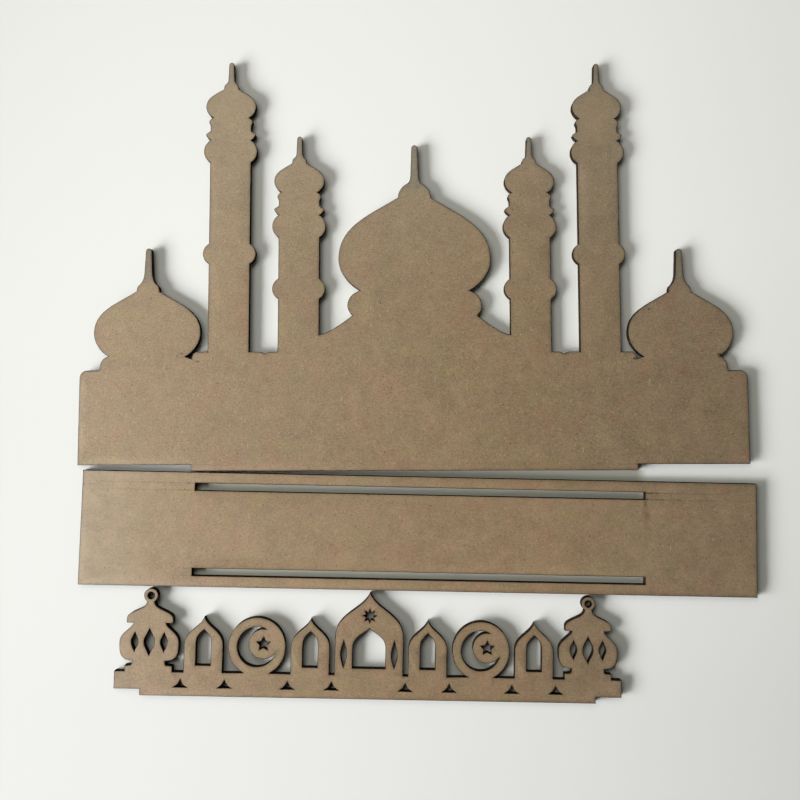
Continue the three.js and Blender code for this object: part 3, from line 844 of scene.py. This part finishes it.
class DECOR_OT_mosque_board(bpy.types.Operator):
    """Make the mosque board with its domes, minarets and tab"""
    bl_idname = "decoration.mosque_board"
    bl_label = "Mosque board"

    def execute(self, context):
        low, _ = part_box("mosque_panel")
        centre = (box_middle("mosque_panel")[0], low[1] + TAB * MM, 0.0)
        look = BoardLook(
            seed=0.0, centre=centre, turn=0.0, level=0.972, contrast=1.0, painted_sheen_end=("y", 50, 175),
            streaks=MOSQUE_STREAKS, smudges=MOSQUE_SMUDGES, scratches_and_sheen=MOSQUE_SCRATCHES_AND_SHEEN,
            finials=MOSQUE_FINIALS)
        dress(context, "mosque_board", "mosque_panel", "mosque", look)
        return {"FINISHED"}


class DECOR_OT_base_board(bpy.types.Operator):
    """Make the base board with its two slots"""
    bl_idname = "decoration.base_board"
    bl_label = "Base board"

    def execute(self, context):
        look = BoardLook(
            seed=50.0, centre=box_middle("base_plate"), turn=LAY_TURN, level=1.045, contrast=0.85,
            painted_sheen_end=("x", -95, -160), streaks=BASE_STREAKS, smudges=BASE_SMUDGES)
        dress(context, "base_board", "base_plate", "base", look)
        return {"FINISHED"}


class DECOR_OT_front_board(bpy.types.Operator):
    """Make the front board with its row of pierced arches, moons and lanterns"""
    bl_idname = "decoration.front_board"
    bl_label = "Front board"

    def execute(self, context):
        look = BoardLook(
            seed=90.0, centre=box_middle("front_plate"), turn=LAY_TURN, level=1.0, contrast=0.9,
            painted_sheen_end=("x", -60, -200))
        dress(context, "front_board", "front_plate", "front", look)
        return {"FINISHED"}


# The camera's place and its tilts, and the middle of the laid boards, as in the photographed layout.
CAMERA_PLACE = (-0.0109573, -0.0139733, 0.339108)
CAMERA_TILT = (-0.0623408, 0.0088536, 0.0007295)
CAMERA_SHIFT = -0.05
CAMERA_CLIP = (0.01, 100.0)
SENSOR_WIDTH = 36.0
OBJECT_MIDDLE = (0.0, -0.02, 0.0)

# The table: half its side and how far it lies below the boards, in metres.
TABLE_HALF = 6.0
TABLE_DROP = 5e-5

# The table's tone: its level and mottle, and its painted light and shade: its rise and bend to the
# right, its fall to the front, and how much more it falls there at the right.
TABLE_LEVEL = 0.982
TABLE_CLOUD = Noise(60, 2, 0.5)
TABLE_MOTTLE = 0.01
TABLE_RISE = 0.131
TABLE_BEND = 0.048
TABLE_FALL = 0.075
TABLE_CROSS = 0.044

# The tone's two places, counted in a unit of so many millimetres: how far to the sides the first
# goes, where the second starts, and how many units it goes to the front.
TABLE_UNIT = 170
TABLE_SIDE = 200
TABLE_FRONT = 60
TABLE_FRONT_END = 1.2

# The table's roughness, and the distances between which it fades into the plain backdrop.
TABLE_ROUGHNESS = 0.9
PLAIN_RANGE = (300, 760)

# By what share the room is brighter at the left than straight ahead.
ROOM_LEAN = 0.35

# Painted shade under the base: what the table's colour is multiplied by where it only shows through the
# base's slots, and how far that goes, in millimetres: to both sides, from the front and to the rear.
UNDER_SHADE_TINT = (1.0, 0.98, 0.87)
UNDER_SIDES = (98, 104)
UNDER_FRONT = (-94, -91)
UNDER_REAR = (-43.0, -41.6)

# From where to where the painted shade darkens the table further there, and by which shares: from the
# front slot to the rear one, into the wedge behind the base, and to the right.
SLOT_SHADE_SINK = (-74, -66, 0.1, 0.26)
WEDGE_SHADE_SINK = (-49, -45, 0.0, 0.09)
RIGHT_SHADE_SINK = (-90, 60, -0.07, 0.06)

# The colour of the light that isn't the window's.
FILL_TINT = (1.0, 1.0, 0.9)


class Lamp(NamedTuple):
    """A rectangular lamp: its setting, its size, and where it stands from the boards' middle.

    Sizes and the distance are in metres, angles in degrees. It faces the point aimed at."""
    power: str
    size: tuple
    distance: float
    azimuth: float
    elevation: float
    aim: tuple = OBJECT_MIDDLE
    spread: float = 180.0
    tint: tuple = (1.0, 1.0, 1.0)


LAMPS = {
    "window": Lamp("key_power", (0.76, 0.3), 1.8, 199, 25.2, aim=(-0.25, -0.1, 0.0), spread=45),
    "near_fill": Lamp("near_power", (0.9, 0.4), 0.8, 130, 52, tint=FILL_TINT),
    "low_fill": Lamp("low_power", (1.4, 0.3), 1.5, 203, 17),
}


def table_tone_and_shade(f, at, x, y):
    """The table's tone, and the mask of the painted shade on the table under the base.

    The tone's polynomial of the place across the table and towards the front, level outside, is painted
    light and shade. Painted shade sinks it under the base and along its rear edge, where the burnt cuts
    send little light back."""
    mottle = f.layer(at, TABLE_CLOUD, 0.0)
    side = x.maths("MINIMUM", TABLE_SIDE).maths("MAXIMUM", -TABLE_SIDE) / TABLE_UNIT
    front = (TABLE_FRONT - y) / TABLE_UNIT
    front = front.maths("MINIMUM", TABLE_FRONT_END).maths("MAXIMUM", 0.0)
    tone = TABLE_LEVEL + (mottle - 0.5) * TABLE_MOTTLE
    # Painted light and shade: the tone rises to the right and falls to the front.
    tone = tone + side * TABLE_RISE - side * side * TABLE_BEND
    tone = tone - front * (TABLE_FALL + side * TABLE_CROSS)
    # Painted shade under the base, in its slots and in the wedge behind it.
    under = abs(x).ramp(*UNDER_SIDES, 1.0, 0.0)
    under = under * y.ramp(*UNDER_FRONT) * y.ramp(*UNDER_REAR, 1.0, 0.0)
    depth = y.ramp(*SLOT_SHADE_SINK) + y.ramp(*WEDGE_SHADE_SINK) + x.ramp(*RIGHT_SHADE_SINK)
    return tone * (1.0 - under * depth), under


def table_finish(settings):
    """A matt pale table with painted light and shade, a little darker towards the front right and under
    the base, and plain far away.
    """
    f = Finish(bpy.data.materials.new("table_top"))
    at = f.place()
    x, y, _ = f.parts(at)
    tone, under = table_tone_and_shade(f, at, x, y)
    # Painted shade: the table is tinted darker and yellower under the base.
    top = f.blend(f.scaled(settings.floor, tone), UNDER_SHADE_TINT, under, "MULTIPLY")
    shader = f.shader(Base_Color=top, Roughness=TABLE_ROUGHNESS)
    plain = f.node("ShaderNodeEmission", inputs={"Color": settings.backdrop, "Strength": 1.0})
    away = f.node("ShaderNodeVectorMath", {"operation": "LENGTH"}, {0: at}, output="Value")
    far = away.ramp(*PLAIN_RANGE) * f.node("ShaderNodeLightPath", output="Is Camera Ray")
    return f.show(f.node("ShaderNodeMixShader", inputs={0: far, 1: shader, 2: plain}))


def room_light(settings):
    """A room whose light is brightest at the horizon and at the left, and dark overhead.

    The strength is the horizon's times 1 less the direction's height, and leans to the left."""
    f = Finish(bpy.data.worlds.new("room"), "ShaderNodeOutputWorld")
    x, _, z = f.parts(f.node("ShaderNodeTexCoord", output="Generated"))
    strength = (1.0 - z).maths("MAXIMUM", 0.0) * (1.0 - x * ROOM_LEAN) * settings.sky
    light = f.node("ShaderNodeBackground", inputs={"Color": FILL_TINT, "Strength": strength})
    seen = f.node("ShaderNodeBackground", inputs={"Color": settings.backdrop, "Strength": 1.0})
    ray = f.node("ShaderNodeLightPath", output="Is Camera Ray")
    return f.show(f.node("ShaderNodeMixShader", inputs={0: ray, 1: light, 2: seen}))


def add_table(scene, settings):
    """A large square just below the boards."""
    mesh = bpy.data.meshes.new("table_top")
    signs = ((-1, -1), (1, -1), (1, 1), (-1, 1))
    corners = [(x * TABLE_HALF, y * TABLE_HALF, -TABLE_DROP) for x, y in signs]
    mesh.from_pydata(corners, [], [(0, 1, 2, 3)])
    mesh.materials.append(table_finish(settings))
    table = bpy.data.objects.new("table_top", mesh)
    scene.collection.objects.link(table)


def add_lamp(scene, name, kind, power):
    """A lamp at its distance, azimuth and elevation from the boards' middle."""
    azimuth, elevation = math.radians(kind.azimuth), math.radians(kind.elevation)
    light = bpy.data.lights.new(name, "AREA")
    light.shape = "RECTANGLE"
    light.size, light.size_y = kind.size
    light.energy = power
    light.color = kind.tint
    light.spread = math.radians(kind.spread)
    lamp = bpy.data.objects.new(name, light)
    scene.collection.objects.link(lamp)
    flat = math.cos(elevation)
    away = Vector((flat * math.cos(azimuth), flat * math.sin(azimuth), math.sin(elevation)))
    lamp.location = Vector(OBJECT_MIDDLE) + kind.distance * away
    lamp.rotation_euler = (lamp.location - Vector(kind.aim)).to_track_quat("Z", "Y").to_euler()


def add_camera(scene, settings):
    """The camera above the boards, turned back by its tilts about its own axes."""
    lens = bpy.data.cameras.new("camera")
    lens.lens = settings.lens
    lens.sensor_width = SENSOR_WIDTH
    lens.shift_y = CAMERA_SHIFT
    lens.clip_start, lens.clip_end = CAMERA_CLIP
    camera = bpy.data.objects.new("camera", lens)
    scene.collection.objects.link(camera)
    camera.location = CAMERA_PLACE
    camera.rotation_euler = Euler(CAMERA_TILT).to_matrix().transposed().to_euler()
    scene.camera = camera


class DECOR_OT_stage(bpy.types.Operator):
    """Make the table, the lamps, the room light and the camera"""
    bl_idname = "decoration.stage"
    bl_label = "Stage"

    def execute(self, context):
        scene = context.scene
        settings = scene.decoration_stage
        add_table(scene, settings)
        for name, kind in LAMPS.items():
            add_lamp(scene, name, kind, getattr(settings, kind.power))
        scene.world = room_light(settings)
        scene.view_settings.view_transform = "Standard"
        add_camera(scene, settings)
        return {"FINISHED"}


class DECOR_PT_panel(bpy.types.Panel):
    """Sizes, colours and steps of the decoration"""
    bl_label = "Mosque decoration"
    bl_idname = "DECOR_PT_panel"
    bl_space_type = "VIEW_3D"
    bl_region_type = "UI"
    bl_category = "Decoration"

    def draw(self, context):
        scene = context.scene
        for group in (scene.decoration_shape, scene.decoration_finish, scene.decoration_stage):
            box = self.layout.box()
            for name in group.bl_rna.properties.keys():
                if name not in ("name", "rna_type"):
                    box.prop(group, name)
        for step in STEPS:
            self.layout.operator(step.bl_idname)


GROUPS = {
    "decoration_shape": BoardShape,
    "decoration_finish": BoardFinish,
    "decoration_stage": StageSettings,
}
STEPS = (DECOR_OT_stage, DECOR_OT_mosque_board, DECOR_OT_base_board, DECOR_OT_front_board)


def register():
    """Adds the classes, and the settings to the scene."""
    for cls in (*GROUPS.values(), *STEPS, DECOR_PT_panel):
        bpy.utils.register_class(cls)
    for name, group in GROUPS.items():
        setattr(bpy.types.Scene, name, bpy.props.PointerProperty(type=group))


def unregister():
    """Takes the settings and the classes away again."""
    for name in GROUPS:
        delattr(bpy.types.Scene, name)
    for cls in reversed((*GROUPS.values(), *STEPS, DECOR_PT_panel)):
        bpy.utils.unregister_class(cls)


def plain(box):
    """A box's corners as plain lists of numbers."""
    return [[float(v) for v in corner] for corner in box]


def main():
    """Registers the add-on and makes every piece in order."""
    register()
    bpy.ops.decoration.stage()
    bpy.ops.decoration.mosque_board()
    bpy.ops.decoration.base_board()
    bpy.ops.decoration.front_board()


if __name__ == "__main__":
    main()
